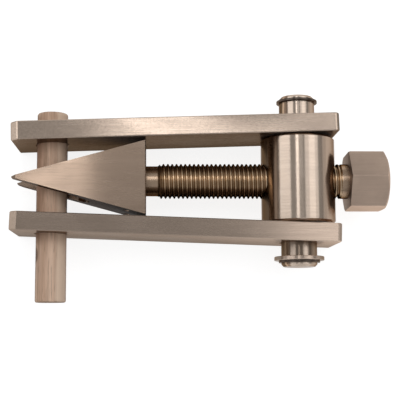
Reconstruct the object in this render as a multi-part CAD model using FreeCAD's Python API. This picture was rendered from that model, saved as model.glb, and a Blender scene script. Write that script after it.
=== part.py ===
import FreeCAD, Part
import math
import os

# Screw-driven wedge spreader for pipe flanges, lying flat on the long edges of its two arms.
# A jack screw runs along X through a round trunnion nut and pushes a forked wedge to the left.
# The trunnion nut lies along Y. Its two necks carry the arms, and its rings keep the arms on.
# A wooden dowel lies along Y through the left ends of both arms and between the wedge's tines.
# Lengths are millimetres, angles are degrees. The crossing of screw and trunnion is the
# working origin. The finished pieces are moved so that the middle of the footprint is zero.

# Arms
ARM_WIDTH = 42.4
ARM_THICKNESS = 10.4
ARM_HOLE_SPACING = 140.9
ARM_DOWEL_END = 21.4
ARM_NECK_END = 21.3
ARM_DOWEL_END_CHAMFER = 3.9
ARM_NECK_END_CHAMFER = 2.0
ARM_EDGE_BREAK = 0.5
ARM_HOLE_BREAK = 0.6
UPPER_ARM_TILT = 1.86
LOWER_ARM_TILT = 2.19

# Trunnion nut, turned from bar of the same width as the arms, so that it lies level with them
TRUNNION_DIAMETER = ARM_WIDTH
SHOULDER_SPAN = 49.2
TRUNNION_CHAMFER = 1.2
NECK_DIAMETER = 20.5
NECK_LENGTH = 24.6
NECK_END_CHAMFER = 1.3
SCREW_MOUTH_CHAMFER = 0.9

# Rings on the necks
RING_THICKNESS = 1.2
RING_GROOVE_DEPTH = 0.9
RING_RADIAL_WIDTH = 2.8
RING_TAPER = 0.45
RING_GAP = 5.0
RING_LUG_RADIUS = 1.9
RING_LUG_HOLE = 1.7
RING_END_MARGIN = 2.35
WASHER_DIAMETER = 28.5
WASHER_THICKNESS = 2.2
WASHER_EDGE_BREAK = 0.25

# Jack screw
THREAD_DIAMETER = 20.0
THREAD_START = -80.6
THREAD_START_CHAMFER = 1.5
TIP_DIAMETER = 17.2
TIP_CHAMFER = 1.0
HEAD_ACROSS_FLATS = 32.5
HEAD_START = 28.3
HEAD_LENGTH = 22.0
HEAD_CHAMFER_DIAMETER = 30.7
HEAD_CHAMFER_ANGLE = 30.0
HEAD_EDGE_BREAK = 0.7
HEAD_TURN = 1.0

# Wedge
WEDGE_BASE = -87.4
WEDGE_LENGTH = 74.3
WEDGE_HEIGHT = 41.6
WEDGE_DEPTH = 36.0
WEDGE_TIP_HEIGHT = 0.6
WEDGE_TIP_CHAMFER = 2.6
WEDGE_EDGE_BREAK = 0.4
WEDGE_BLOCK_LENGTH = 32.0
TIP_BORE_DEPTH = 21.5

# Pins that hold the screw's tip in the wedge
PIN_DIAMETER = 4.0
PIN_DEPTH = 11.0
PIN_GROOVE_DEPTH = 2.0
PIN_INSET = 0.3

# Dowel
DOWEL_DIAMETER = 17.4
DOWEL_TOP = 38.8
DOWEL_LENGTH = 107.6
DOWEL_END_CHAMFER = 1.0

# Clearances
THREAD_CLEARANCE = 0.05
ARM_NECK_CLEARANCE = 0.4
ARM_DOWEL_CLEARANCE = 0.35
ARM_SEAT_CLEARANCE = 0.05
WASHER_CLEARANCE = 0.05
RING_CLEARANCE = 0.05
SLOT_CLEARANCE = 0.35
TIP_CLEARANCE = 0.08
THRUST_CLEARANCE = 0.05
PIN_FIT = 0.01

AXIS_X = FreeCAD.Vector(1, 0, 0)
AXIS_Y = FreeCAD.Vector(0, 1, 0)
AXIS_Z = FreeCAD.Vector(0, 0, 1)
ORIGIN = FreeCAD.Vector(0, 0, 0)

shoulder = SHOULDER_SPAN / 2
neck_end = shoulder + NECK_LENGTH
neck_radius = NECK_DIAMETER / 2
ring_outer_face = neck_end - RING_END_MARGIN
ring_inner_face = ring_outer_face - RING_THICKNESS
washer_outer_face = ring_inner_face - RING_CLEARANCE
tip_end = WEDGE_BASE - TIP_BORE_DEPTH + THRUST_CLEARANCE
head_end = HEAD_START + HEAD_LENGTH
wedge_tip = WEDGE_BASE - WEDGE_LENGTH
slot_height = DOWEL_DIAMETER + 2 * SLOT_CLEARANCE
dowel_x = -ARM_HOLE_SPACING * math.cos(math.radians((UPPER_ARM_TILT + LOWER_ARM_TILT) / 2))
pin_x = WEDGE_BASE - PIN_DEPTH
pin_offset = TIP_DIAMETER / 2 - PIN_GROOVE_DEPTH + PIN_DIAMETER / 2 + TIP_CLEARANCE


def cylinder(diameter, start, end, axis, centre=ORIGIN):
    """A round bar along one axis, from start to end along that axis."""
    return Part.makeCylinder(diameter / 2, end - start, centre + axis * start, axis)


def turned(profile, axis):
    """A turned piece. The profile is pairs of place along the axis and radius."""
    side = AXIS_Y if axis == AXIS_X else AXIS_X
    points = [axis * place + side * radius for place, radius in profile]
    points.append(points[0])
    return Part.Face(Part.makePolygon(points)).revolve(ORIGIN, axis, 360)


def prism(outline, low_z, high_z):
    """A plate with the given outline in X and Y, from low_z to high_z."""
    points = [FreeCAD.Vector(x, y, low_z) for x, y in outline]
    points.append(points[0])
    return Part.Face(Part.makePolygon(points)).extrude(AXIS_Z * (high_z - low_z))


def edges_along(shape, axis):
    """The straight edges of a shape that run along an axis."""
    found = []
    for edge in shape.Edges:
        if len(edge.Vertexes) == 2 and isinstance(edge.Curve, (Part.Line, Part.LineSegment)):
            run = edge.Vertexes[1].Point - edge.Vertexes[0].Point
            if abs(run.normalize().dot(axis)) > 0.999:
                found.append(edge)
    return found


def make_trunnion_nut():
    """Round nut with a neck at each end, a ring groove in each neck and a bore for the screw."""
    body_radius = TRUNNION_DIAMETER / 2
    groove_radius = neck_radius - RING_GROOVE_DEPTH
    groove_inner = ring_inner_face - RING_CLEARANCE
    groove_outer = ring_outer_face + RING_CLEARANCE
    half = [
        (shoulder - TRUNNION_CHAMFER, body_radius),
        (shoulder, body_radius - TRUNNION_CHAMFER),
        (shoulder, neck_radius),
        (groove_inner, neck_radius),
        (groove_inner, groove_radius),
        (groove_outer, groove_radius),
        (groove_outer, neck_radius),
        (neck_end - NECK_END_CHAMFER, neck_radius),
        (neck_end, neck_radius - NECK_END_CHAMFER),
        (neck_end, 0),
    ]
    mirrored = [(-place, radius) for place, radius in reversed(half)]
    nut = turned(mirrored + half, AXIS_Y)
    bore = cylinder(THREAD_DIAMETER + 2 * THREAD_CLEARANCE, -body_radius, body_radius, AXIS_X)
    nut = nut.cut(bore)
    mouth_radius = THREAD_DIAMETER / 2 + THREAD_CLEARANCE + SCREW_MOUTH_CHAMFER
    for direction in (AXIS_X, AXIS_X * -1):
        depth = body_radius - math.sqrt(body_radius**2 - mouth_radius**2) + SCREW_MOUTH_CHAMFER
        mouth = Part.makeCone(
            mouth_radius - depth,
            mouth_radius,
            depth,
            direction * (body_radius - depth),
            direction,
        )
        nut = nut.cut(mouth)
    return nut


def make_ring(side):
    """External retaining ring in a neck groove, widest at the top, with its lugs below."""
    inner = neck_radius - RING_GROOVE_DEPTH + RING_CLEARANCE
    outer = inner + RING_RADIAL_WIDTH - RING_TAPER
    start = min(side * ring_inner_face, side * ring_outer_face)
    end = start + RING_THICKNESS
    lug_z = -(inner + RING_LUG_RADIUS)
    ring = cylinder(2 * outer, start, end, AXIS_Y, AXIS_Z * RING_TAPER)
    for lug_x in (-RING_GAP / 2 - RING_LUG_RADIUS, RING_GAP / 2 + RING_LUG_RADIUS):
        lug_centre = FreeCAD.Vector(lug_x, 0, lug_z)
        ring = ring.fuse(cylinder(2 * RING_LUG_RADIUS, start, end, AXIS_Y, lug_centre))
    ring = ring.cut(cylinder(2 * inner, start, end, AXIS_Y))
    gap_height = outer + 2 * RING_LUG_RADIUS
    gap = Part.makeBox(
        RING_GAP,
        RING_THICKNESS,
        gap_height,
        FreeCAD.Vector(-RING_GAP / 2, start, -gap_height),
    )
    ring = ring.cut(gap)
    for lug_x in (-RING_GAP / 2 - RING_LUG_RADIUS, RING_GAP / 2 + RING_LUG_RADIUS):
        lug_centre = FreeCAD.Vector(lug_x, 0, lug_z)
        ring = ring.cut(cylinder(RING_LUG_HOLE, start, end, AXIS_Y, lug_centre))
    return ring.removeSplitter()


def make_washer():
    """Support washer on the lower neck, between the lower arm and its ring."""
    bore_radius = neck_radius + WASHER_CLEARANCE
    rim = WASHER_DIAMETER / 2
    outer = -washer_outer_face
    inner = outer + WASHER_THICKNESS
    profile = [
        (outer, bore_radius),
        (outer, rim - WASHER_EDGE_BREAK),
        (outer + WASHER_EDGE_BREAK, rim),
        (inner - WASHER_EDGE_BREAK, rim),
        (inner, rim - WASHER_EDGE_BREAK),
        (inner, bore_radius),
    ]
    return turned(profile, AXIS_Y)


def arm_middle(tilt):
    """Height of an arm's middle plane at its neck hole, with the arm touching the shoulder."""
    slope = math.radians(tilt)
    contact = TRUNNION_DIAMETER / 2 - TRUNNION_CHAMFER
    seat = shoulder + ARM_SEAT_CLEARANCE
    return seat + ARM_THICKNESS / 2 / math.cos(slope) + contact * math.tan(slope)


def make_arm(side, tilt):
    """Flat bar with a hole for the neck and one for the dowel, leaning in at its dowel end."""
    left = -ARM_HOLE_SPACING - ARM_DOWEL_END
    right = ARM_NECK_END
    top = ARM_WIDTH / 2
    outline = [
        (left, -top),
        (right, -top),
        (right, top - ARM_NECK_END_CHAMFER),
        (right - ARM_NECK_END_CHAMFER, top),
        (left + ARM_DOWEL_END_CHAMFER, top),
        (left, top - ARM_DOWEL_END_CHAMFER),
    ]
    points = [FreeCAD.Vector(x, -ARM_THICKNESS / 2, z) for x, z in outline]
    points.append(points[0])
    bar = Part.Face(Part.makePolygon(points)).extrude(AXIS_Y * ARM_THICKNESS)
    bar = bar.makeChamfer(ARM_EDGE_BREAK, bar.Edges)
    holes = (
        (0, NECK_DIAMETER + 2 * ARM_NECK_CLEARANCE),
        (-ARM_HOLE_SPACING, DOWEL_DIAMETER + 2 * ARM_DOWEL_CLEARANCE),
    )
    half = ARM_THICKNESS / 2
    for x, diameter in holes:
        centre = AXIS_X * x
        bar = bar.cut(cylinder(diameter, -half, half, AXIS_Y, centre))
        for direction in (AXIS_Y, AXIS_Y * -1):
            mouth = Part.makeCone(
                diameter / 2,
                diameter / 2 + ARM_HOLE_BREAK,
                ARM_HOLE_BREAK,
                centre + direction * (half - ARM_HOLE_BREAK),
                direction,
            )
            bar = bar.cut(mouth)
    bar.rotate(ORIGIN, AXIS_Z, side * tilt)
    bar.translate(AXIS_Y * (side * arm_middle(tilt)))
    return bar


def make_screw():
    """Jack screw with a hexagon head, a plain tip and a groove round the tip for the pins."""
    thread_radius = THREAD_DIAMETER / 2
    tip_radius = TIP_DIAMETER / 2
    groove_start = pin_x - PIN_DIAMETER / 2 - TIP_CLEARANCE
    groove_end = pin_x + PIN_DIAMETER / 2 + TIP_CLEARANCE
    groove_radius = tip_radius - PIN_GROOVE_DEPTH
    head_overlap = HEAD_START + HEAD_EDGE_BREAK
    profile = [
        (tip_end, 0),
        (tip_end, tip_radius - TIP_CHAMFER),
        (tip_end + TIP_CHAMFER, tip_radius),
        (groove_start, tip_radius),
        (groove_start, groove_radius),
        (groove_end, groove_radius),
        (groove_end, tip_radius),
        (THREAD_START, tip_radius),
        (THREAD_START + THREAD_START_CHAMFER, thread_radius),
        (head_overlap, thread_radius),
        (head_overlap, 0),
    ]
    shaft = turned(profile, AXIS_X)
    corner_radius = HEAD_ACROSS_FLATS / 2 / math.cos(math.radians(30))
    corners = []
    for step in range(7):
        angle = math.radians(90 + HEAD_TURN + 60 * step)
        y = corner_radius * math.cos(angle)
        z = corner_radius * math.sin(angle)
        corners.append(FreeCAD.Vector(HEAD_START, y, z))
    head = Part.Face(Part.makePolygon(corners)).extrude(AXIS_X * HEAD_LENGTH)
    rim = HEAD_CHAMFER_DIAMETER / 2
    fall = (corner_radius - rim) * math.tan(math.radians(HEAD_CHAMFER_ANGLE))
    blank = [
        (HEAD_START, 0),
        (HEAD_START, corner_radius - HEAD_EDGE_BREAK),
        (HEAD_START + HEAD_EDGE_BREAK, corner_radius),
        (head_end - fall, corner_radius),
        (head_end, rim),
        (head_end, 0),
    ]
    head = head.common(turned(blank, AXIS_X))
    return shaft.fuse(head).removeSplitter()


def make_wedge():
    """Forked wedge: a block bored for the screw's tip, and two tines on either side of a slot."""
    base = WEDGE_HEIGHT / 2
    tip = WEDGE_TIP_HEIGHT / 2
    low = -WEDGE_DEPTH / 2
    high = WEDGE_DEPTH / 2
    outline = [(WEDGE_BASE, -base), (WEDGE_BASE, base), (wedge_tip, tip), (wedge_tip, -tip)]
    wedge = prism(outline, low, high)
    tip_edges = [
        edge
        for edge in edges_along(wedge, AXIS_Y)
        if edge.BoundBox.XMax < wedge_tip + WEDGE_TIP_CHAMFER
    ]
    wedge = wedge.makeChamfer(WEDGE_TIP_CHAMFER, tip_edges)
    base_edges = [edge for edge in wedge.Edges if edge.BoundBox.XMin > WEDGE_BASE - WEDGE_EDGE_BREAK]
    wedge = wedge.makeChamfer(WEDGE_EDGE_BREAK, base_edges)
    slot_radius = slot_height / 2
    slot_centre = WEDGE_BASE - WEDGE_BLOCK_LENGTH - slot_radius
    slot = Part.makeBox(
        slot_centre - wedge_tip,
        WEDGE_HEIGHT,
        slot_height,
        FreeCAD.Vector(wedge_tip, -base, -slot_radius),
    )
    slot = slot.fuse(cylinder(slot_height, -base, base, AXIS_Y, AXIS_X * slot_centre))
    wedge = wedge.cut(slot)
    bore_bottom = WEDGE_BASE - TIP_BORE_DEPTH
    bore = cylinder(TIP_DIAMETER + 2 * TIP_CLEARANCE, bore_bottom, WEDGE_BASE, AXIS_X)
    wedge = wedge.cut(bore)
    for pin_z in (pin_offset, -pin_offset):
        pin_hole = cylinder(
            PIN_DIAMETER + 2 * PIN_FIT, -base, base, AXIS_Y, FreeCAD.Vector(pin_x, 0, pin_z)
        )
        wedge = wedge.cut(pin_hole)
    return wedge


def make_pin(side):
    """Pin across the wedge that lies in the groove of the screw's tip and holds it."""
    slope = (WEDGE_HEIGHT - WEDGE_TIP_HEIGHT) / 2 / WEDGE_LENGTH
    far_side = pin_x - PIN_DIAMETER / 2
    reach = WEDGE_TIP_HEIGHT / 2 + (far_side - wedge_tip) * slope - PIN_INSET
    return cylinder(
        PIN_DIAMETER, -reach, reach, AXIS_Y, FreeCAD.Vector(pin_x, 0, side * pin_offset)
    )


def make_dowel():
    """Round wooden dowel with eased ends."""
    bottom = DOWEL_TOP - DOWEL_LENGTH
    dowel = cylinder(DOWEL_DIAMETER, bottom, DOWEL_TOP, AXIS_Y, AXIS_X * dowel_x)
    rims = [edge for edge in dowel.Edges if isinstance(edge.Curve, Part.Circle)]
    return dowel.makeChamfer(DOWEL_END_CHAMFER, rims)


pieces = {
    "trunnion_nut": make_trunnion_nut(),
    "upper_ring": make_ring(1),
    "lower_ring": make_ring(-1),
    "support_washer": make_washer(),
    "upper_arm": make_arm(1, UPPER_ARM_TILT),
    "lower_arm": make_arm(-1, LOWER_ARM_TILT),
    "jack_screw": make_screw(),
    "wedge": make_wedge(),
    "front_pin": make_pin(1),
    "back_pin": make_pin(-1),
    "wooden_dowel": make_dowel(),
}

box = Part.makeCompound(list(pieces.values())).optimalBoundingBox(False)
shift = FreeCAD.Vector(-(box.XMin + box.XMax) / 2, -(box.YMin + box.YMax) / 2, -box.ZMin)

os.makedirs("parts", exist_ok=True)
for name, shape in pieces.items():
    shape.translate(shift)
    shape.exportStep("parts/" + name + ".step")
    print(name, shape.isValid(), len(shape.Solids), round(shape.Volume, 1))
print("shift", round(shift.x, 4), round(shift.y, 4), round(shift.z, 4))
print("size", round(box.XLength, 3), round(box.YLength, 3), round(box.ZLength, 3))
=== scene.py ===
import math

import bmesh
import bpy
from mathutils import Matrix, Vector


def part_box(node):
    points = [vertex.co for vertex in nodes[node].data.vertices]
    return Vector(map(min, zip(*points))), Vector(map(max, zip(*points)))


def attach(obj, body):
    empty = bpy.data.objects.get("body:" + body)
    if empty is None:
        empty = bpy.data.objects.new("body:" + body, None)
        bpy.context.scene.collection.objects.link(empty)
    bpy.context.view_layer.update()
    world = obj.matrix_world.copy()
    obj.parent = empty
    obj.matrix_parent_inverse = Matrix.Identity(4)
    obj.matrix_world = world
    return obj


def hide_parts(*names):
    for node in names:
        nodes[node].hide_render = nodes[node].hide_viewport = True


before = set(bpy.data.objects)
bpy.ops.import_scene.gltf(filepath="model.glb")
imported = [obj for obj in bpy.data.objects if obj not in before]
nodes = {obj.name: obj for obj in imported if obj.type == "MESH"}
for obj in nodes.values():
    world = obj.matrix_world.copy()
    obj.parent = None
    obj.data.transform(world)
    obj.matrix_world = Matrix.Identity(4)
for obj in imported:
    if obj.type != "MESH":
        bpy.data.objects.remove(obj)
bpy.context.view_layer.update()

MM = 0.001

# The camera, from a fit to the photograph's measured edges. Its place is from the crossing of the
# screw and the trunnion nut.
CAMERA_PLACE = Vector((-82.87, -83.53, 550.48)) * MM
CAMERA_X = Vector((0.998875, -0.005540, 0.047094))
CAMERA_Y = Vector((-0.000681, 0.991372, 0.131077))
CAMERA_LENS = 87.444
CAMERA_SENSOR = 36.0
CAMERA_CLIP = 10 * MM

# The screw's thread, M20 by 2.5. Its start and end are places along X from the trunnion. The threaded
# mesh reaches past them by the lead-in and the lead-out, and is cut from a helix that begins HELIX_LEAD
# pitches sooner.
PITCH = 2.5 * MM
CREST_RADIUS = 10.0 * MM
ROOT_RADIUS = 8.80 * MM
CREST_EASE = 0.09 * MM
ROOT_EASE = 0.14 * MM
THREAD_START = -80.6 * MM
THREAD_END = 24.4 * MM
LEAD_IN = 1.5 * MM
LEAD_OUT = 1.0 * MM
HELIX_LEAD = 1.75
RUN_OUT = 1.2 * MM
STEPS_PER_TURN = 72

# The screw's head and tip
HALF_CORNER = math.radians(30)
HEAD_START = 28.3 * MM
HEAD_RIM_INSET = 0.9 * MM
HEAD_CORNER_CUT = 0.7 * MM
HEAD_TURN = math.radians(-3.0)
HEAD_EDGE_RADIUS = 0.4 * MM
HEAD_BASE_EASE = 0.3 * MM
HEAD_CORNER_EASE = 0.08 * MM
HEAD_CHAMFER_EASE = 0.12 * MM
HEAD_RIM_EASE = 0.15 * MM
HEAD_FACE_INSET = 0.25 * MM
HEAD_FLAT_STEPS = 12
SHAFT_IN_HEAD = 1.0 * MM
TIP_RADIUS = 8.6 * MM
TIP_CHAMFER = 1.0 * MM
GROOVE_RADIUS = 6.6 * MM
GROOVE_SPARE = 0.12 * MM

# The dowel. Nearer to its middle than the shade reach below, its sides are painted darker: painted
# shade. The knot is on its left side, at these places from the trunnion.
DOWEL_ROUND = 1.1 * MM
DOWEL_WAVER = 0.042 * MM
DOWEL_STATIONS = 90
DOWEL_SHADE_REACH = 38 * MM
KNOT_Y = -42.4 * MM
KNOT_Z = 2.5 * MM
STEPS_AROUND = 96

# The upper arm as its top is seen: the slope of its lean, and its edges in Y at the trunnion
ARM_SLOPE = 0.0325
ARM_INNER_EDGE = 25.3 * MM
ARM_OUTER_EDGE = 35.7 * MM

# The floor of the wedge's slot, which is below this height: painted shade up to the first place along X
# and painted light from the second
SLOT_BELOW = 8 * MM
SLOT_DARK = -135 * MM
SLOT_BRIGHT = -128 * MM

# The painted shade on the nut's lower neck, from the washer down to the ring
NECK_SHADE_TOP = -33 * MM
NECK_SHADE_BOTTOM = -44.5 * MM

# Places in the pieces, from their boxes in the frame. The dressed head reaches as far in Y as the CAD's.
nut_low, nut_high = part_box("trunnion_nut")
ORIGIN = (nut_low + nut_high) / 2
screw_low, screw_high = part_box("jack_screw")
TIP_END = screw_low.x - ORIGIN.x
HEAD_END = screw_high.x - ORIGIN.x
HEAD_CORNER = (screw_high.y - screw_low.y) / 2 / math.cos(HALF_CORNER - abs(HEAD_TURN))
HEAD_FLAT = HEAD_CORNER * math.cos(HALF_CORNER)
HEAD_RIM = HEAD_FLAT - HEAD_RIM_INSET
pin_low, pin_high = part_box("front_pin")
GROOVE_RIGHT = pin_high.x - ORIGIN.x + GROOVE_SPARE
GROOVE_LEFT = pin_low.x - ORIGIN.x - GROOVE_SPARE
dowel_low, dowel_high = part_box("wooden_dowel")
KNOT = Vector((dowel_low.x, ORIGIN.y + KNOT_Y, ORIGIN.z + KNOT_Z))

# The pinkish cast of everything but the floor, and the colour of a dull metal's grazing reflections
CAST = (1.0, 0.955, 0.935)
EDGE_TINT = (0.60, 0.52, 0.46)

# A face looks up where its normal's height is above this.
FACING = 0.7

# The studio. A lamp of one square metre needs this many watts for a radiance of 1.
LAMP_WATTS = math.pi
LAMP_DISTANCE = 1.5
FLOOR_DROP = 0.1 * MM
FLOOR_FLAT = 3.6
FLOOR_RIM = 1.2
FLOOR_TONE = 0.42
FLOOR_GLOW = 0.84
FAR_GLOW = 0.70


# Meshes

def new_object(name, bm, smooth_angle):
    """An object from a bmesh that is built around the crossing of screw and trunnion."""
    mesh = bpy.data.meshes.new(name)
    bmesh.ops.recalc_face_normals(bm, faces=bm.faces)
    bm.to_mesh(mesh)
    bm.free()
    mesh.transform(Matrix.Translation(ORIGIN))
    piece = bpy.data.objects.new(name, mesh)
    bpy.context.scene.collection.objects.link(piece)
    mesh.shade_smooth()
    mesh.set_sharp_from_angle(angle=math.radians(smooth_angle))
    return piece


def bridge(bm, rings):
    """Joins each ring of vertices to the next one with four-sided faces."""
    count = len(rings[0])
    for first, second in zip(rings, rings[1:]):
        for index in range(count):
            following = (index + 1) % count
            bm.faces.new((first[index], first[following], second[following], second[index]))


def direction(angle):
    return Vector((math.cos(angle), math.sin(angle)))


def thread_radius(x, radius):
    """A thread's radius, cut by the chamfer at its start and filled by the run-out at its end."""
    chamfer = TIP_RADIUS + max(0.0, x - THREAD_START)
    share = min(1.0, max(0.0, (x - THREAD_END + RUN_OUT) / RUN_OUT))
    run_out = ROOT_RADIUS + (CREST_RADIUS - ROOT_RADIUS) * share
    return min(max(radius, run_out), chamfer)


def extend(bm, loop, x, radius):
    """Extrudes a ring of edges about the screw's axis to a new place and radius."""
    made = bmesh.ops.extrude_edge_only(bm, edges=loop)["geom"]
    for vertex in (item for item in made if isinstance(item, bmesh.types.BMVert)):
        spoke = Vector((0, vertex.co.y, vertex.co.z)).normalized() * radius
        vertex.co = Vector((x, spoke.y, spoke.z))
    return [item for item in made if isinstance(item, bmesh.types.BMEdge)]


def add_thread(bm, left, right):
    """The helix from left to right, as rows of points that run along one pitch each, cut off square."""
    profile = (
        (0.0, ROOT_RADIUS), (0.20, ROOT_RADIUS), (0.26, ROOT_RADIUS + ROOT_EASE),
        (0.47, CREST_RADIUS - CREST_EASE), (0.50, CREST_RADIUS), (0.70, CREST_RADIUS),
        (0.73, CREST_RADIUS - CREST_EASE), (0.94, ROOT_RADIUS + ROOT_EASE),
    )
    turns = math.ceil((right - left) / PITCH) + 3
    start = left - HELIX_LEAD * PITCH
    rows = []
    for step in range(turns * STEPS_PER_TURN + 1):
        spoke = direction(2 * math.pi * step / STEPS_PER_TURN)
        advance = start + PITCH * step / STEPS_PER_TURN
        row = []
        for share, radius in profile:
            x = advance + share * PITCH
            length = thread_radius(x, radius)
            row.append(bm.verts.new((x, length * spoke.x, length * spoke.y)))
        rows.append(row)
    for step in range(len(rows) - 1):
        row = list(rows[step])
        following = list(rows[step + 1])
        if step + 1 + STEPS_PER_TURN < len(rows):
            row.append(rows[step + STEPS_PER_TURN][0])
            following.append(rows[step + 1 + STEPS_PER_TURN][0])
        for a, b, c, d in zip(row, row[1:], following[1:], following):
            bm.faces.new((a, b, c, d))
    for x, outward in ((left, -1), (right, 1)):
        everything = bm.verts[:] + bm.edges[:] + bm.faces[:]
        bmesh.ops.bisect_plane(
            bm, geom=everything, dist=1e-8, plane_co=(x, 0, 0), plane_no=(outward, 0, 0), clear_outer=True
        )


def make_shaft():
    """The screw's shaft: plain grooved tip, helical thread, run-out and plain stretch."""
    bm = bmesh.new()
    add_thread(bm, THREAD_START - LEAD_IN, THREAD_END + LEAD_OUT)
    ends = [edge for edge in bm.edges if edge.is_boundary]
    tip_loop = [edge for edge in ends if edge.verts[0].co.x < 0]
    head_loop = [edge for edge in ends if edge.verts[0].co.x > 0]
    for x, radius in (
        (GROOVE_RIGHT, TIP_RADIUS), (GROOVE_RIGHT, GROOVE_RADIUS),
        (GROOVE_LEFT, GROOVE_RADIUS), (GROOVE_LEFT, TIP_RADIUS),
        (TIP_END + TIP_CHAMFER, TIP_RADIUS), (TIP_END, TIP_RADIUS - TIP_CHAMFER),
    ):
        tip_loop = extend(bm, tip_loop, x, radius)
    bmesh.ops.contextual_create(bm, geom=tip_loop)
    head_loop = extend(bm, head_loop, HEAD_START + SHAFT_IN_HEAD, CREST_RADIUS)
    bmesh.ops.contextual_create(bm, geom=head_loop)
    return new_object("screw_shaft", bm, smooth_angle=32)


def hexagon_outline():
    """The head's outline with eased corners, as points from the screw's axis."""
    outline = []
    reach = (HEAD_FLAT - HEAD_EDGE_RADIUS) / math.cos(HALF_CORNER)
    for corner in range(6):
        middle = math.radians(90 + 60 * corner) + HEAD_TURN
        centre = reach * direction(middle)
        for turn in (-30, -15, 0, 15, 30):
            outline.append(centre + HEAD_EDGE_RADIUS * direction(middle + math.radians(turn)))
        target = reach * direction(middle + 2 * HALF_CORNER)
        edge = HEAD_EDGE_RADIUS * direction(middle + HALF_CORNER)
        for part in range(1, HEAD_FLAT_STEPS):
            outline.append(centre.lerp(target, part / HEAD_FLAT_STEPS) + edge)
    return outline


def make_head():
    """The hexagon head, with eased corners and a turned chamfer at its outer end."""
    bm = bmesh.new()
    columns = []
    slope = math.tan(HALF_CORNER)
    for point in hexagon_outline():
        radius = point.length
        spoke = point.normalized()
        fall = (radius - HEAD_RIM) * slope
        cut = max(0.0, radius - HEAD_FLAT / math.cos(HALF_CORNER) + HEAD_CORNER_CUT)
        places = (
            (HEAD_START, radius - HEAD_BASE_EASE - cut),
            (HEAD_START + HEAD_CORNER_EASE + 0.3 * cut, radius - HEAD_CORNER_EASE - 0.3 * cut),
            (HEAD_START + HEAD_BASE_EASE + cut, radius),
            (HEAD_END - fall - HEAD_FACE_INSET, radius),
            (HEAD_END - fall + HEAD_CHAMFER_EASE, radius - 0.9 * HEAD_CHAMFER_EASE / slope),
            (HEAD_END - HEAD_RIM_EASE, HEAD_RIM + HEAD_RIM_EASE / slope),
            (HEAD_END, HEAD_RIM - HEAD_FACE_INSET),
        )
        columns.append([bm.verts.new((x, spoke.x * length, spoke.y * length)) for x, length in places])
    rings = list(zip(*columns))
    bridge(bm, rings)
    bm.faces.new(rings[0])
    bm.faces.new(rings[-1])
    return new_object("hexagon_head_dressed", bm, smooth_angle=24)


def make_dowel():
    """The wooden dowel: slightly uneven, with rounded ends."""
    centre_x = (dowel_low.x + dowel_high.x) / 2 - ORIGIN.x
    whole_radius = (dowel_high.x - dowel_low.x) / 2
    bottom = dowel_low.y - ORIGIN.y
    top = dowel_high.y - ORIGIN.y
    rounding = []
    for turn in (0, 15, 30, 50, 70, 90):
        angle = math.radians(turn)
        fall = DOWEL_ROUND * (1 - math.cos(angle))
        rounding.append((bottom + fall, whole_radius - DOWEL_ROUND * (1 - math.sin(angle))))
    stations = list(rounding)
    straight = top - bottom - 2 * DOWEL_ROUND
    for index in range(1, DOWEL_STATIONS):
        stations.append((bottom + DOWEL_ROUND + straight * index / DOWEL_STATIONS, whole_radius))
    stations += [(top + bottom - y, radius) for y, radius in reversed(rounding)]
    bm = bmesh.new()
    rings = []
    for y, radius in stations:
        ring = []
        for step in range(STEPS_AROUND):
            angle = 2 * math.pi * step / STEPS_AROUND
            length = radius - DOWEL_WAVER * (1 + math.sin(3 * angle + 40 * y) * math.cos(7 * angle - 90 * y))
            spoke = direction(angle)
            ring.append(bm.verts.new((centre_x + length * spoke.x, y, length * spoke.y)))
        rings.append(ring)
    bridge(bm, rings)
    bm.faces.new(rings[0])
    bm.faces.new(rings[-1])
    return new_object("dowel_dressed", bm, smooth_angle=50)


# Materials

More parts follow.
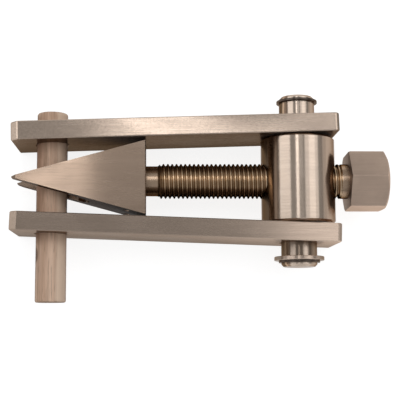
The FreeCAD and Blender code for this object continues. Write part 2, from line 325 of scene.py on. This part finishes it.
class Shader:
    """One node material, with short ways to add nodes and join them.

    A value is a socket or a constant. place is the place on the piece and from_origin the same from the
    crossing of screw and trunnion.
    """

    def __init__(self, name):
        self.material = bpy.data.materials.new(name)
        self.material.use_nodes = True
        self.nodes = self.material.node_tree.nodes
        self.links = self.material.node_tree.links
        self.nodes.clear()
        self.surface = self.nodes.new("ShaderNodeBsdfPrincipled")
        output = self.nodes.new("ShaderNodeOutputMaterial")
        self.links.new(self.surface.outputs[0], output.inputs["Surface"])
        self.place = self.nodes.new("ShaderNodeTexCoord").outputs["Object"]
        self.normal = self.nodes.new("ShaderNodeNewGeometry").outputs["Normal"]
        self.from_origin = self.vector("SUBTRACT", self.place, tuple(ORIGIN))

    def put(self, socket, value):
        if isinstance(value, bpy.types.NodeSocket):
            self.links.new(value, socket)
        elif value is not None:
            socket.default_value = value

    def math(self, operation, a, b=None):
        node = self.nodes.new("ShaderNodeMath")
        node.operation = operation
        self.put(node.inputs[0], a)
        self.put(node.inputs[1], b)
        return node.outputs[0]

    def plus(self, a, b):
        return self.math("ADD", a, b)

    def times(self, a, b):
        return self.math("MULTIPLY", a, b)

    def minus(self, a, b):
        return self.math("SUBTRACT", a, b)

    def magnitude(self, a):
        return self.math("ABSOLUTE", a)

    def above(self, a, b):
        """1 where a is greater than b, otherwise 0."""
        return self.math("GREATER_THAN", a, b)

    def below(self, a, b):
        """1 where a is less than b, otherwise 0."""
        return self.math("LESS_THAN", a, b)

    def vector(self, operation, a, b=None):
        node = self.nodes.new("ShaderNodeVectorMath")
        node.operation = operation
        self.put(node.inputs[0], a)
        self.put(node.inputs[1], b)
        return node.outputs["Value"] if operation in ("DOT_PRODUCT", "LENGTH") else node.outputs[0]

    def split(self, vector):
        node = self.nodes.new("ShaderNodeSeparateXYZ")
        self.links.new(vector, node.inputs[0])
        return node.outputs

    def join(self, x, y, z):
        node = self.nodes.new("ShaderNodeCombineXYZ")
        for socket, value in zip(node.inputs, (x, y, z)):
            self.put(socket, value)
        return node.outputs[0]

    def noise(self, stretch, detail=3.0, roughness=0.5, distortion=0.0):
        """Noise with the given number of lumps per metre along X, Y and Z."""
        mapping = self.nodes.new("ShaderNodeMapping")
        self.links.new(self.place, mapping.inputs["Vector"])
        mapping.inputs["Scale"].default_value = stretch
        node = self.nodes.new("ShaderNodeTexNoise")
        self.links.new(mapping.outputs[0], node.inputs["Vector"])
        node.inputs["Scale"].default_value = 1.0
        node.inputs["Detail"].default_value = detail
        node.inputs["Roughness"].default_value = roughness
        node.inputs["Distortion"].default_value = distortion
        return node.outputs[0]

    def span(self, value, from_low, from_high, to_low=0.0, to_high=1.0, smooth=False):
        """Runs from to_low to to_high while the value runs from from_low to from_high, and stays there."""
        node = self.nodes.new("ShaderNodeMapRange")
        node.interpolation_type = "SMOOTHSTEP" if smooth else "LINEAR"
        node.inputs["From Min"].default_value = from_low
        node.inputs["From Max"].default_value = from_high
        node.inputs["To Min"].default_value = to_low
        node.inputs["To Max"].default_value = to_high
        self.links.new(value, node.inputs["Value"])
        return node.outputs[0]

    def blend(self, share, first, second, mode="MIX"):
        node = self.nodes.new("ShaderNodeMix")
        node.data_type = "RGBA"
        node.blend_type = mode
        self.put(node.inputs[0], share)
        self.put(node.inputs[6], first if isinstance(first, bpy.types.NodeSocket) else (*first, 1))
        self.put(node.inputs[7], second if isinstance(second, bpy.types.NodeSocket) else (*second, 1))
        return node.outputs[2]

    def dim(self, colour, share):
        """The colour times a share that changes over the surface."""
        return self.blend(1.0, colour, self.join(share, share, share), "MULTIPLY")

    def bump(self, height, depth, strength=0.5, normal=None):
        node = self.nodes.new("ShaderNodeBump")
        node.inputs["Strength"].default_value = strength
        node.inputs["Distance"].default_value = depth
        self.links.new(height, node.inputs["Height"])
        self.put(node.inputs["Normal"], normal)
        return node.outputs[0]

    def edges(self, radius, share):
        """The share along the piece's edges, 0 on its faces."""
        node = self.nodes.new("ShaderNodeBevel")
        node.samples = 4
        node.inputs["Radius"].default_value = radius
        agreement = self.vector("DOT_PRODUCT", node.outputs[0], self.normal)
        return self.span(agreement, 0.995, 0.90, 0.0, share)

    def across(self, lines):
        """The direction in the surface that crosses the lines of its finish, along which it blurs."""
        crossed = self.vector("CROSS_PRODUCT", self.normal, lines)
        return self.vector("NORMALIZE", self.vector("ADD", crossed, (0.0, 0.0, 0.001)))

    def finish(self, colour, roughness, normal=None, metallic=1.0, tint=None, anisotropic=0.0, tangent=None):
        """Sets the surface. A colour that changes over it takes the pinkish cast, the floor's stays white."""
        inputs = self.surface.inputs
        if isinstance(colour, bpy.types.NodeSocket):
            colour = self.blend(1.0, colour, CAST, "MULTIPLY")
        self.put(inputs["Base Color"], colour)
        self.put(inputs["Roughness"], roughness)
        self.put(inputs["Normal"], normal)
        inputs["Metallic"].default_value = metallic
        if tint:
            inputs["Specular Tint"].default_value = (*tint, 1)
        inputs["Anisotropic"].default_value = anisotropic
        self.put(inputs["Tangent"], tangent)
        return self.material


def shade(colour, factor):
    return [min(1.0, part * factor) for part in colour]


def leaning_normal(s, lean):
    """The normal of a hand-ground top face, which isn't quite flat.

    lean holds two places along X from the trunnion and the angle, in degrees, by which the face leans
    there. Between them the angle runs evenly.
    """
    (first, first_angle), (last, last_angle) = lean
    along = s.split(s.from_origin)[0]
    slopes = [math.tan(math.radians(angle)) for angle in (first_angle, last_angle)]
    slope = s.span(along, first * MM, last * MM, *slopes)
    up = s.math("POWER", s.math("MAXIMUM", s.split(s.normal)[2], 0.0), 6.0)
    sideways = s.join(s.times(up, slope), 0.0, 0.0)
    return s.vector("NORMALIZE", s.vector("ADD", s.normal, sideways))


def upper_arm_painted_light(s, glow):
    """What the top of the upper arm keeps: more at its inner edge, painted light, and less at its outer
    one, painted shade.

    It fades out towards both ends of the arm, and follows the arm's lean.
    """
    along, outward, _ = s.split(s.from_origin)
    middle = s.times(
        s.span(along, -66 * MM, -44 * MM, smooth=True), s.span(along, 6 * MM, -20 * MM, smooth=True)
    )
    on_top = s.above(s.split(s.normal)[2], FACING)
    from_lean = s.minus(outward, s.times(along, ARM_SLOPE))
    across = s.span(from_lean, ARM_INNER_EDGE, ARM_OUTER_EDGE, glow, -0.5 * glow)
    return s.plus(1.0, s.times(s.times(middle, on_top), across))


def slot_floor_painted_shading(s):
    """What the floor of the wedge's slot keeps: painted shade at the dowel, painted light further in."""
    along, _, height = s.split(s.from_origin)
    inside = s.times(s.above(s.split(s.normal)[2], FACING), s.below(height, SLOT_BELOW))
    painted_shading = s.span(along, SLOT_DARK, SLOT_BRIGHT, 0.4, 2.2, smooth=True)
    return s.plus(1.0, s.times(inside, s.minus(painted_shading, 1.0)))


def ground_bronze(
    name, light, dark, lean, tint, gain, roughness=0.24, side=0.75, left=1.0, end=0.4, specks=0.0, glow=0.0,
):
    """Bar stock ground along its length: fine lines along X, cloudy tone, edges painted lighter as a painted
    highlight, and sides and ends painted darker as painted shade.

    side, left and end say how much of the tone the long sides, the left end and the right end keep, as
    painted shade, or painted light where a share is above 1; the long sides darken towards the bottom. gain
    holds two places along X and the share of the tone there, painted light and shade along the piece. glow
    is the painted highlight that the upper arm's top gains at its inner edge. The slot's floor takes painted
    shade and light.
    """
    s = Shader(name)
    lines = s.noise((45, 2600, 2600), detail=4.0, roughness=0.65)
    streaks = s.noise((14, 420, 420), roughness=0.6)
    clouds = s.noise((22, 45, 45), roughness=0.55, distortion=0.6)
    grains = s.noise((750, 750, 750), roughness=0.6)
    tone = s.plus(s.times(streaks, 0.45), s.times(clouds, 0.55))
    colour = s.blend(s.span(tone, 0.36, 0.64), dark, light)
    colour = s.blend(s.span(lines, 0.35, 0.65, 0.0, 0.12), colour, shade(dark, 0.62))
    colour = s.blend(s.span(grains, 0.45, 0.65, 0.0, specks), colour, shade(dark, 0.5))
    x, y, _ = s.split(s.normal)
    along, _, height = s.split(s.from_origin)
    (first, first_gain), (last, last_gain) = gain
    # The long sides are painted darker, most towards the bottom: painted shade.
    sideways = s.span(s.magnitude(y), 0.5, 0.8, smooth=True)
    side_painted_shade = s.span(height, -20 * MM, 18 * MM, 1 - side * 0.6, 1 - side * 1.15)
    shares = [
        s.span(along, first * MM, last * MM, first_gain, last_gain, smooth=True),
        s.span(x, 0.45, 0.7, 1.0, end, smooth=True),
        s.span(x, -0.45, -0.7, 1.0, left, smooth=True),
        s.minus(1.0, s.times(sideways, side_painted_shade)),
        slot_floor_painted_shading(s),
    ]
    if glow:
        shares.append(upper_arm_painted_light(s, glow))
    kept = shares[0]
    for share in shares[1:]:
        kept = s.times(kept, share)
    colour = s.dim(colour, kept)
    # The edges are painted lighter: a painted highlight.
    colour = s.blend(s.edges(0.45 * MM, 0.18), colour, shade(light, 1.2))
    rough = s.plus(
        s.span(clouds, 0.3, 0.7, roughness - 0.04, roughness + 0.05), s.span(lines, 0.3, 0.7, -0.04, 0.05)
    )
    swell = s.noise((11, 20, 20), detail=0.0)
    relief = s.plus(s.times(lines, 0.014), s.times(swell, 0.025))
    normal = s.bump(relief, 0.25 * MM, 0.4, leaning_normal(s, lean))
    return s.finish(colour, rough, normal, tint=tint, anisotropic=0.85, tangent=s.across((1.0, 0.0, 0.0)))


def neck_painted_shade(s, height, turned, share):
    """The share of painted shade on the nut's lower neck, by the height along Y. Two strips are left out of
    it.
    """
    upper = s.span(height, NECK_SHADE_TOP, NECK_SHADE_TOP - 3 * MM, 0.0, share)
    lower = s.span(height, NECK_SHADE_BOTTOM, NECK_SHADE_BOTTOM + 1 * MM)
    left_strip = s.span(s.magnitude(s.plus(turned, 0.47)), 0.08, 0.22, 0.15, 1.0, smooth=True)
    right_strip = s.span(s.magnitude(s.minus(turned, 0.23)), 0.08, 0.20, smooth=True)
    return s.times(s.times(upper, lower), s.times(left_strip, right_strip))


def turned_bronze(name, light, dark, roughness, painted_bands=(), neck_shade=0.0):
    """A lathe-turned finish: fine rings about the Y axis, so that reflections run along it.

    A painted band has a start and an end round the piece, as the sine of the angle from the top, its colour
    and its share: painted shade, or painted light where its colour is lighter. It lasts from there on to the
    side. The last argument is the share of painted shade on the nut's lower neck.
    """
    s = Shader(name)
    x, y, z = s.split(s.from_origin)
    rings = s.noise((60, 3200, 60), roughness=0.6)
    clouds = s.noise((70, 40, 70), roughness=0.6)
    colour = s.blend(s.span(clouds, 0.35, 0.65), dark, light)
    colour = s.blend(s.span(rings, 0.4, 0.65, 0.0, 0.12), colour, shade(dark, 0.6))
    turned = s.math("DIVIDE", x, s.vector("LENGTH", s.join(x, 0.0, z)))
    turned = s.plus(turned, s.span(clouds, 0.3, 0.7, -0.03, 0.03))
    # Bands round the piece: painted shade, and painted light where the band's colour is lighter.
    for start, end, tone, share in painted_bands:
        colour = s.blend(s.span(turned, start, end, 0.0, share, smooth=True), colour, tone)
    # Painted shade on the nut's lower neck.
    if neck_shade:
        colour = s.blend(neck_painted_shade(s, y, turned, neck_shade), colour, (0.13, 0.095, 0.065))
    # The edges are painted lighter: a painted highlight.
    colour = s.blend(s.edges(0.35 * MM, 0.3), colour, shade(light, 1.15))
    rough = s.plus(
        s.span(clouds, 0.3, 0.7, roughness - 0.03, roughness + 0.04), s.span(rings, 0.3, 0.7, -0.03, 0.03)
    )
    normal = s.bump(rings, 0.004 * MM)
    tangent = s.across(s.vector("NORMALIZE", s.join(z, 0.0, s.times(x, -1.0))))
    return s.finish(colour, rough, normal, tint=EDGE_TINT, anisotropic=0.85, tangent=tangent)


def thread_bronze():
    """The screw: turned crests, darker down in the thread, and painted shade along its sides."""
    s = Shader("screw_dressed")
    x, y, z = s.split(s.from_origin)
    radius = s.vector("LENGTH", s.join(0.0, y, z))
    in_thread = s.times(s.above(x, THREAD_START), s.below(x, THREAD_END))
    depth = s.times(s.span(radius, CREST_RADIUS - 0.1 * MM, ROOT_RADIUS + 0.1 * MM), in_thread)
    patches = s.noise((120, 160, 160), detail=4.0, roughness=0.6)
    threaded = s.blend(s.span(patches, 0.35, 0.65), (0.62, 0.475, 0.315), (0.78, 0.61, 0.43))
    plain = s.blend(s.span(patches, 0.35, 0.65), (0.48, 0.36, 0.26), (0.56, 0.43, 0.32))
    valley = s.blend(s.span(patches, 0.4, 0.7), (0.32, 0.22, 0.13), (0.48, 0.34, 0.21))
    colour = s.blend(in_thread, plain, threaded)
    colour = s.blend(s.math("POWER", depth, 0.8), colour, valley)
    # The screw's front and back are painted darker, and the thread's rim there nearly black: painted shade.
    side = s.math("DIVIDE", s.magnitude(y), radius)
    colour = s.blend(s.span(side, 0.45, 0.9, 0.0, 0.6, smooth=True), colour, (0.22, 0.15, 0.095))
    rim = s.times(s.span(side, 0.82, 0.96), in_thread)
    colour = s.blend(rim, colour, (0.035, 0.025, 0.018))
    rough = s.plus(s.span(patches, 0.3, 0.7, 0.24, 0.30), s.times(depth, 0.12))
    normal = s.bump(s.noise((3000, 70, 70), detail=2.0), 0.004 * MM)
    tangent = s.across(s.vector("NORMALIZE", s.join(0.0, s.times(z, -1.0), y)))
    return s.finish(colour, rough, normal, tint=(0.12, 0.095, 0.075), anisotropic=0.6, tangent=tangent)


def head_bronze():
    """The hexagon head: a dull milled and tumbled finish, greyer on its bearing face."""
    s = Shader("head_dressed")
    clouds = s.noise((60, 60, 60), detail=4.0, roughness=0.6)
    grit = s.noise((1500, 1500, 1500), roughness=0.7)
    lines = s.noise((60, 1500, 1500), roughness=0.6)
    along, across, _ = s.split(s.normal)
    colour = s.blend(s.span(clouds, 0.35, 0.65), (0.555, 0.445, 0.365), (0.625, 0.505, 0.415))
    colour = s.blend(s.span(lines, 0.35, 0.65, 0.0, 0.14), colour, (0.30, 0.23, 0.18))
    # Flats facing +Y are painted darker and flats facing -Y lighter: painted shade and painted light.
    colour = s.dim(colour, s.span(across, -0.55, 0.55, 1.15, 0.89))
    colour = s.blend(s.span(along, -0.5, -0.9, 0.0, 0.75, smooth=True), colour, (0.27, 0.26, 0.255))
    # The edges are painted lighter: a painted highlight.
    colour = s.blend(s.edges(0.5 * MM, 0.06), colour, (0.78, 0.70, 0.62))
    rough = s.plus(s.span(clouds, 0.3, 0.7, 0.42, 0.50), s.span(grit, 0.3, 0.7, -0.04, 0.05))
    relief = s.plus(s.times(grit, 0.6), s.times(lines, 0.4))
    return s.finish(colour, rough, s.bump(relief, 0.02 * MM), tint=EDGE_TINT)


def dowel_wood():
    """Plain sanded hardwood: long grain along Y, pores, faint streaks, end grain and one dark knot.

    Its right side is painted lighter, painted light. Its sides near the middle and its left and right
    edges are painted darker, painted shade.
    """
    s = Shader("dowel_dressed")
    grain = s.noise((900, 22, 900), detail=4.0, roughness=0.6, distortion=0.4)
    bands = s.noise((260, 9, 260), detail=2.0, distortion=0.8)
    pores = s.noise((2600, 110, 2600), detail=2.0)
    streaks = s.noise((230, 30, 230), detail=2.0, distortion=0.3)
    colour = s.blend(s.span(bands, 0.35, 0.65), (0.68, 0.475, 0.345), (0.92, 0.70, 0.54))
    colour = s.blend(s.span(grain, 0.42, 0.62, 0.0, 0.35), colour, (0.38, 0.25, 0.17))
    colour = s.blend(s.span(pores, 0.60, 0.72, 0.0, 0.5), colour, (0.20, 0.125, 0.08))
    colour = s.blend(s.span(streaks, 0.58, 0.70, 0.0, 0.45), colour, (0.24, 0.145, 0.09))
    facing, endwise, _ = s.split(s.normal)
    # The right side is painted lighter: painted light.
    colour = s.blend(s.span(facing, 0.3, 0.55, 0.0, 0.8, smooth=True), colour, (0.98, 0.79, 0.62))
    # Near the middle the sides are painted darker: painted shade between the arms.
    on_side = s.math(
        "MAXIMUM", s.span(facing, -0.3, -0.8, 0.0, 0.75), s.span(facing, 0.3, 0.8, 0.0, 0.25)
    )
    from_middle = s.magnitude(s.split(s.from_origin)[1])
    painted_shading = s.times(s.span(from_middle, DOWEL_SHADE_REACH, DOWEL_SHADE_REACH - 7 * MM), on_side)
    colour = s.blend(painted_shading, colour, (0.34, 0.18, 0.105))
    # The left and right edges are painted darker still: painted shade.
    shaded = s.plus(
        s.span(facing, -0.88, -1.0, 0.0, 0.75, smooth=True), s.span(facing, 0.92, 1.0, 0.0, 0.35, smooth=True)
    )
    colour = s.blend(shaded, colour, (0.17, 0.10, 0.06))
    ends = s.times(s.math("POWER", s.magnitude(endwise), 3.0), 0.6)
    colour = s.blend(ends, colour, (0.27, 0.18, 0.12))
    from_knot = s.vector("MULTIPLY", s.vector("SUBTRACT", s.place, tuple(KNOT)), (0.55, 0.32, 0.3))
    spread = s.plus(s.vector("LENGTH", from_knot), s.span(grain, 0.3, 0.7, -0.25 * MM, 0.25 * MM))
    colour = s.blend(s.span(spread, 1.9 * MM, 1.0 * MM, 0.0, 0.8, smooth=True), colour, (0.10, 0.055, 0.03))
    rough = s.span(grain, 0.3, 0.7, 0.55, 0.75)
    relief = s.minus(s.times(grain, 0.6), s.span(pores, 0.58, 0.72, 0.0, 0.7))
    s.surface.inputs["Specular IOR Level"].default_value = 0.3
    return s.finish(colour, rough, s.bump(relief, 0.12 * MM, 0.6), metallic=0.0)


def set_material(piece, material):
    piece.data.materials.clear()
    piece.data.materials.append(material)


# Pieces

shaft = make_shaft()
head = make_head()
for piece in (shaft, head):
    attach(piece, "screw")
    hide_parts("jack_screw")
set_material(shaft, thread_bronze())
set_material(head, head_bronze())

dowel = make_dowel()
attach(dowel, "dowel")
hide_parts("wooden_dowel")
set_material(dowel, dowel_wood())

# The nut: bands of painted shade and painted light round it, and painted shade on its lower neck.
set_material(nodes["trunnion_nut"], turned_bronze(
    "nut_dressed", (0.53, 0.455, 0.385), (0.49, 0.415, 0.345), 0.20, neck_shade=0.7, painted_bands=(
        (-0.56, -0.67, (0.21, 0.145, 0.10), 0.9), (-0.76, -0.80, (0.50, 0.37, 0.26), 0.9),
        (-0.83, -0.89, (0.085, 0.06, 0.04), 0.92),
        (0.42, 0.60, (0.33, 0.245, 0.18), 0.6), (0.74, 0.90, (0.19, 0.13, 0.095), 0.7),
    )
))
# The washer: painted shade towards both of its sides.
set_material(nodes["support_washer"], turned_bronze(
    "washer_dressed", (0.60, 0.50, 0.42), (0.48, 0.40, 0.33), 0.24,
    painted_bands=((-0.55, -0.9, (0.22, 0.19, 0.16), 0.85), (0.4, 0.8, (0.20, 0.16, 0.125), 0.85)),
))
ring_steel = turned_bronze("ring_dressed", (0.12, 0.10, 0.085), (0.07, 0.055, 0.045), 0.30)
for name in ("upper_ring", "lower_ring"):
    set_material(nodes[name], ring_steel)
pin_bronze = turned_bronze("pin_dressed", (0.46, 0.38, 0.32), (0.36, 0.29, 0.24), 0.3)
for name in ("front_pin", "back_pin"):
    set_material(nodes[name], pin_bronze)
# The upper arm: a painted highlight on its top, and a dark grazing tint that dims the reflections in its
# sides, painted shade.
set_material(nodes["upper_arm"], ground_bronze(
    "upper_arm_dressed", (0.61, 0.515, 0.43), (0.545, 0.455, 0.38),
    lean=((-26, -3.2), (17, -7.2)), tint=(0.24, 0.20, 0.17), left=0.9, specks=0.25,
    side=0.70, gain=((-75, 1.0), (-45, 0.96)), glow=0.5,
))
# The lower arm: the upper arm's bronze painted darker, painted shade. Its top is painted brighter towards its
# right end and its left end lighter, painted light, and its lighter grazing tint brightens the reflections in
# its sides.
set_material(nodes["lower_arm"], ground_bronze(
    "lower_arm_dressed", (0.40, 0.33, 0.275), (0.34, 0.28, 0.23),
    lean=((-157, 7.2), (-60, 3.6)), tint=(0.53, 0.45, 0.39), side=0.85, left=1.15,
    gain=((-90, 0.92), (40, 2.0)),
))
# The wedge: painted brighter towards its tip, a painted highlight; its tips painted darker and its grazing
# tint dark, painted shade.
set_material(nodes["wedge"], ground_bronze(
    "wedge_dressed", (0.375, 0.295, 0.232), (0.335, 0.258, 0.20),
    lean=((-146, 0.2), (-103, 3.0)), tint=(0.15, 0.14, 0.13), roughness=0.22, left=0.35,
    end=0.7, gain=((-156, 1.5), (-136, 1.0)),
))


# Studio

def make_floor():
    """A round white floor that curves up at its far rim, lit evenly as it is seen."""
    profile = [(0.02, 0.0), (0.5, 0.0), (1.2, 0.0), (2.4, 0.0), (FLOOR_FLAT, 0.0)]
    for turn in range(10, 91, 10):
        angle = math.radians(turn)
        profile.append((FLOOR_FLAT + FLOOR_RIM * math.sin(angle), FLOOR_RIM * (1 - math.cos(angle))))
    spokes = [direction(2 * math.pi * step / STEPS_AROUND) for step in range(STEPS_AROUND)]
    bm = bmesh.new()
    rings = []
    for radius, height in profile:
        rings.append([bm.verts.new((radius * spoke.x, radius * spoke.y, height)) for spoke in spokes])
    bridge(bm, rings)
    bm.faces.new(rings[0])
    bmesh.ops.recalc_face_normals(bm, faces=bm.faces)
    mesh = bpy.data.meshes.new("floor")
    bm.to_mesh(mesh)
    bm.free()
    mesh.shade_smooth()
    floor = bpy.data.objects.new("floor", mesh)
    bpy.context.scene.collection.objects.link(floor)
    floor.location.z = -FLOOR_DROP
    set_material(floor, floor_paper())


def floor_paper():
    """Matt grey paper that glows white as the camera, mirrors and glass see it."""
    s = Shader("floor_paper")
    s.surface.inputs["Specular IOR Level"].default_value = 0.1
    path = s.nodes.new("ShaderNodeLightPath").outputs
    seen = s.plus(s.plus(path["Is Camera Ray"], path["Is Glossy Ray"]), path["Is Transmission Ray"])
    glow = s.span(s.vector("LENGTH", s.place), 0.6, 2.5, FLOOR_GLOW, FAR_GLOW, smooth=True)
    s.surface.inputs["Emission Color"].default_value = (1, 1, 1, 1)
    s.put(s.surface.inputs["Emission Strength"], s.times(s.math("MINIMUM", seen, 1.0), glow))
    return s.finish((FLOOR_TONE, FLOOR_TONE, FLOOR_TONE, 1), 0.9, metallic=0.0)


def softbox(name, lean, width, near, far, radiance):
    """A soft lamp over the part, leaning about the Y axis, that reaches back from near to far along Y."""
    length = far - near
    lamp = bpy.data.lights.new(name, "AREA")
    lamp.shape = "RECTANGLE"
    lamp.size = width
    lamp.size_y = length
    lamp.energy = radiance * LAMP_WATTS * width * length
    holder = bpy.data.objects.new(name, lamp)
    bpy.context.scene.collection.objects.link(holder)
    angle = math.radians(lean)
    reach = LAMP_DISTANCE * math.sin(angle), (near + far) / 2, LAMP_DISTANCE * math.cos(angle)
    holder.location = ORIGIN + Vector(reach)
    holder.rotation_euler = (0, angle, 0)
    holder.visible_camera = False


def make_world(overhead, horizon):
    """A plain grey room. Its light changes a little from the horizon up to overhead."""
    world = bpy.data.worlds.new("studio")
    bpy.context.scene.world = world
    world.use_nodes = True
    tree = world.node_tree
    background = tree.nodes["Background"]
    place = tree.nodes.new("ShaderNodeTexCoord")
    split = tree.nodes.new("ShaderNodeSeparateXYZ")
    ramp = tree.nodes.new("ShaderNodeMapRange")
    ramp.interpolation_type = "SMOOTHSTEP"
    ramp.inputs["From Min"].default_value = math.sin(math.radians(5))
    ramp.inputs["From Max"].default_value = math.sin(math.radians(55))
    ramp.inputs["To Min"].default_value = horizon
    ramp.inputs["To Max"].default_value = overhead
    tree.links.new(place.outputs["Generated"], split.inputs[0])
    tree.links.new(split.outputs[2], ramp.inputs["Value"])
    tree.links.new(ramp.outputs[0], background.inputs["Strength"])
    background.inputs["Color"].default_value = (1, 1, 1, 1)


def make_camera():
    """The camera of the photograph."""
    data = bpy.data.cameras.new("camera")
    data.lens = CAMERA_LENS
    data.sensor_width = CAMERA_SENSOR
    data.clip_start = CAMERA_CLIP
    camera = bpy.data.objects.new("camera", data)
    bpy.context.scene.collection.objects.link(camera)
    back = CAMERA_X.cross(CAMERA_Y)
    turn = Matrix((CAMERA_X, CAMERA_Y, back)).transposed().to_4x4()
    camera.matrix_world = Matrix.Translation(ORIGIN + CAMERA_PLACE) @ turn
    bpy.context.scene.camera = camera


make_floor()
softbox("overhead_strip", lean=-8.6, width=0.22, near=0.11, far=0.80, radiance=2.5)
softbox("left_softbox", lean=-48.6, width=0.98, near=0.11, far=0.80, radiance=1.52)
softbox("right_softbox", lean=36.0, width=1.19, near=0.02, far=0.80, radiance=0.95)
softbox("right_core", lean=37.3, width=0.52, near=0.02, far=0.80, radiance=0.62)
softbox("gap_filler", lean=3.0, width=0.30, near=0.42, far=0.74, radiance=1.4)
make_world(overhead=0.42, horizon=0.40)
make_camera()
bpy.context.scene.view_settings.view_transform = "Standard"
